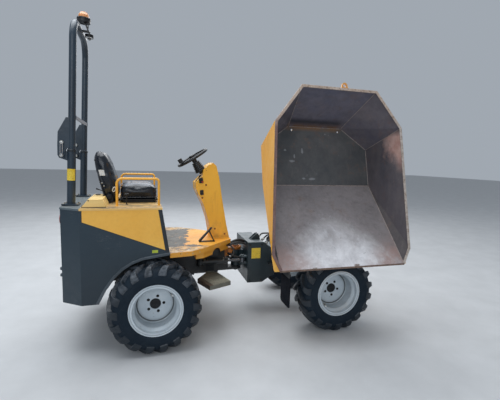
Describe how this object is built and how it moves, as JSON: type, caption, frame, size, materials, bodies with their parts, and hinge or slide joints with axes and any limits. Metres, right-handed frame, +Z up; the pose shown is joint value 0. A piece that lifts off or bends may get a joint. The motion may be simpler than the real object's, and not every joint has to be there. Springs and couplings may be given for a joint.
{
  "type": "site dumper",
  "caption": "Articulated site dumper with a swivelling, tipping skip, lug tyres, a folding roll-over bar, an open driver's seat and centre-joint steering.",
  "frame": {"origin": "on the ground under the middle of the machine's bounding box in the pictured pose", "axes": "+X forward along the rear frame, +Y to the driver's left, +Z up"},
  "size_m": [2.9756, 1.6884, 2.7806],
  "materials": {
    "tyre": "matt black rubber",
    "rim_silver": "silver-grey satin paint",
    "yellow": "gloss yellow-orange paint, worn at edges",
    "slate": "satin slate grey-blue paint",
    "chassis_black": "satin dark paint with dust",
    "vinyl": "black vinyl",
    "plate_worn": "worn tread plate",
    "skip_steel": "rusty, scoured steel inside; yellow outside",
    "plastic_black": "black moulded plastic",
    "amber": "amber lens",
    "chrome_rod": "hard chromed rod",
    "rubber_flap": "black rubber sheet",
    "cast": "dark cast iron"
  },
  "bodies": {
    "rear_frame": {"rear_chassis": "chassis_black", "rear_axle": "cast", "engine_block": "cast", "side_panel_right": "slate", "side_panel_left": "slate", "rear_panel": "slate", "deck_plate": "slate", "front_bulkhead": "chassis_black", "rear_hood": "yellow", "footplate": "yellow", "steering_pedestal": "yellow", "steering_shaft": "plastic_black", "foot_pedal": "plastic_black", "steps": "plate_worn", "tow_jaw": "chassis_black", "seat_mount": "chassis_black", "seat_cushion": "vinyl", "seat_back": "vinyl", "guard_rail_right": "yellow", "guard_rail_left": "yellow", "rops_posts": "slate"},
    "rops_top": {"rops_hoop": "slate", "beacon_stand": "plastic_black", "beacon_dome": "amber", "work_lamp": "plastic_black"},
    "hand_wheel": {"steering_wheel": "plastic_black"},
    "wheel_rear_right": {"tyre_rear_right": "tyre", "rim_rear_right": "rim_silver"},
    "wheel_rear_left": {"tyre_rear_left": "tyre", "rim_rear_left": "rim_silver"},
    "front_frame": {"front_chassis": "chassis_black", "front_axle": "cast", "mudflaps": "rubber_flap", "flap_brackets": "chassis_black", "front_hoses": "rubber_flap"},
    "wheel_front_right": {"tyre_front_right": "tyre", "rim_front_right": "rim_silver"},
    "wheel_front_left": {"tyre_front_left": "tyre", "rim_front_left": "rim_silver"},
    "steer_barrel": {"steering_ram_barrel": "chassis_black"},
    "steer_rod": {"steering_ram_rod": "chrome_rod"},
    "turntable": {"turntable_frame": "chassis_black"},
    "skip": {"skip_shell": "skip_steel", "skip_brackets": "yellow", "lifting_eye": "yellow"},
    "tip_barrel": {"tip_ram_barrel": "chassis_black"},
    "tip_rod": {"tip_ram_rod": "chrome_rod"}
  },
  "joints": [
    {"name": "steering", "type": "hinge", "parent": "rear_frame", "child": "front_frame", "pos_m": [0.1555, 0.151, 0.58], "axis": [0, 0, 1], "range_deg": [-30.6, 35.4]},
    {"name": "wheel_rear_right_spin", "type": "hinge", "parent": "rear_frame", "child": "wheel_rear_right", "pos_m": [-0.68, -0.409, 0.376], "axis": [0, 1, 0], "continuous": true},
    {"name": "wheel_rear_left_spin", "type": "hinge", "parent": "rear_frame", "child": "wheel_rear_left", "pos_m": [-0.68, 0.711, 0.376], "axis": [0, 1, 0], "continuous": true},
    {"name": "wheel_front_right_spin", "type": "hinge", "parent": "front_frame", "child": "wheel_front_right", "pos_m": [0.96682, -0.4435, 0.376], "axis": [0.0419, 0.9991, 0], "continuous": true},
    {"name": "wheel_front_left_spin", "type": "hinge", "parent": "front_frame", "child": "wheel_front_left", "pos_m": [1.01372, 0.67552, 0.376], "axis": [0.0419, 0.9991, 0], "continuous": true},
    {"name": "rops_fold", "type": "hinge", "parent": "rear_frame", "child": "rops_top", "pos_m": [-1.37534, 0.151, 1.58521], "axis": [0, -1, 0], "range_deg": [0, 120]},
    {"name": "hand_wheel_turn", "type": "hinge", "parent": "rear_frame", "child": "hand_wheel", "pos_m": [-0.3025, 0.151, 1.596], "axis": [-0.5432, 0, 0.8396], "continuous": true},
    {"name": "skip_slew", "type": "hinge", "parent": "front_frame", "child": "turntable", "pos_m": [0.88036, 0.12062, 0.75], "axis": [0, 0, 1], "range_deg": [0, 180]},
    {"name": "skip_tip", "type": "hinge", "parent": "turntable", "child": "skip", "pos_m": [0.85943, -0.37894, 0.8945], "axis": [-0.9991, 0.0419, 0], "range_deg": [0, 76]},
    {"name": "steer_ram_swing", "type": "hinge", "parent": "rear_frame", "child": "steer_barrel", "pos_m": [-0.2445, -0.019, 0.595], "axis": [0, 0, 1], "range_deg": [-1.37, 1.55]},
    {"name": "steer_ram_slide", "type": "slide", "parent": "steer_barrel", "child": "steer_rod", "axis": [0.9998, 0.021, 0], "range_m": [-0.0823, 0.0951]},
    {"name": "tip_ram_swing", "type": "hinge", "parent": "turntable", "child": "tip_barrel", "pos_m": [0.88288, 0.18057, 0.8], "axis": [-0.9991, 0.0419, 0], "range_deg": [-2, 0.2]},
    {"name": "tip_ram_slide", "type": "slide", "parent": "tip_barrel", "child": "tip_rod", "axis": [-0.0386, -0.922, 0.3853], "range_m": [-0.1901, 0.0005]}
  ],
  "couplings": [
    {"joint": "steer_ram_swing", "follows": "steering", "ratio": 0.03811},
    {"joint": "steer_ram_slide", "follows": "steering", "m_per_rad": 0.15311},
    {"joint": "tip_ram_swing", "follows": "skip_tip", "ratio": -0.02373},
    {"joint": "tip_ram_slide", "follows": "skip_tip", "m_per_rad": -0.14293}
  ]
}
